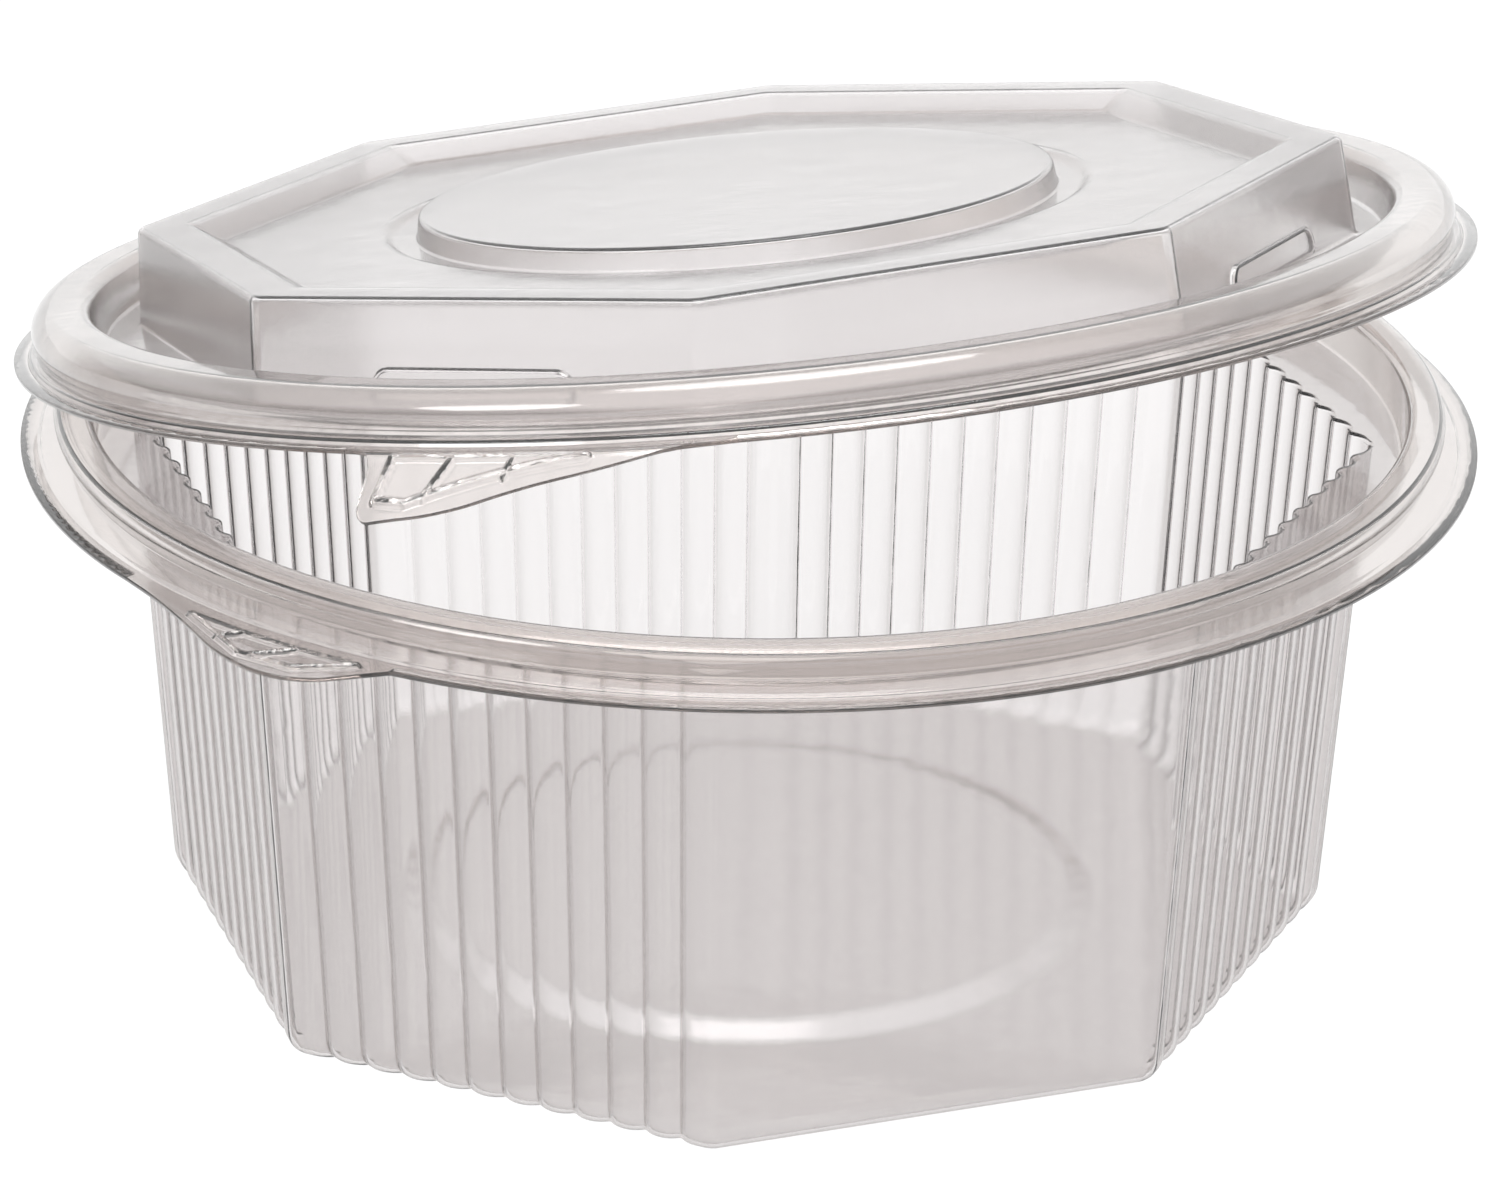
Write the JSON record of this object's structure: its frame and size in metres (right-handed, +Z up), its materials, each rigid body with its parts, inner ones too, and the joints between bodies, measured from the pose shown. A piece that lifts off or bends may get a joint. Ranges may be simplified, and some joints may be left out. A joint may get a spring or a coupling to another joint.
{
  "type": "plastic clamshell pack",
  "caption": "Clear thermoformed food pack: fluted octagonal tub with a round snap rim and a hinged, domed octagonal lid standing ajar.",
  "frame": {"origin": "centre of the tub's foot, on the plane it stands on", "axes": "+Z up along the tub's axis; -Y towards the plain label face of the octagon"},
  "size_m": [0.1703, 0.173, 0.1016],
  "materials": {
    "clear_sheet": "clear, glossy, faintly warm grey"
  },
  "bodies": {
    "base": {"tub": "clear_sheet"},
    "cover": {"lid": "clear_sheet"}
  },
  "joints": [
    {"name": "lid_hinge", "type": "hinge", "parent": "base", "child": "cover", "pos_m": [-0.02022, 0.08421, 0.06115], "axis": [-0.9724, -0.2334, 0], "range_deg": [-10.4, 169]}
  ]
}
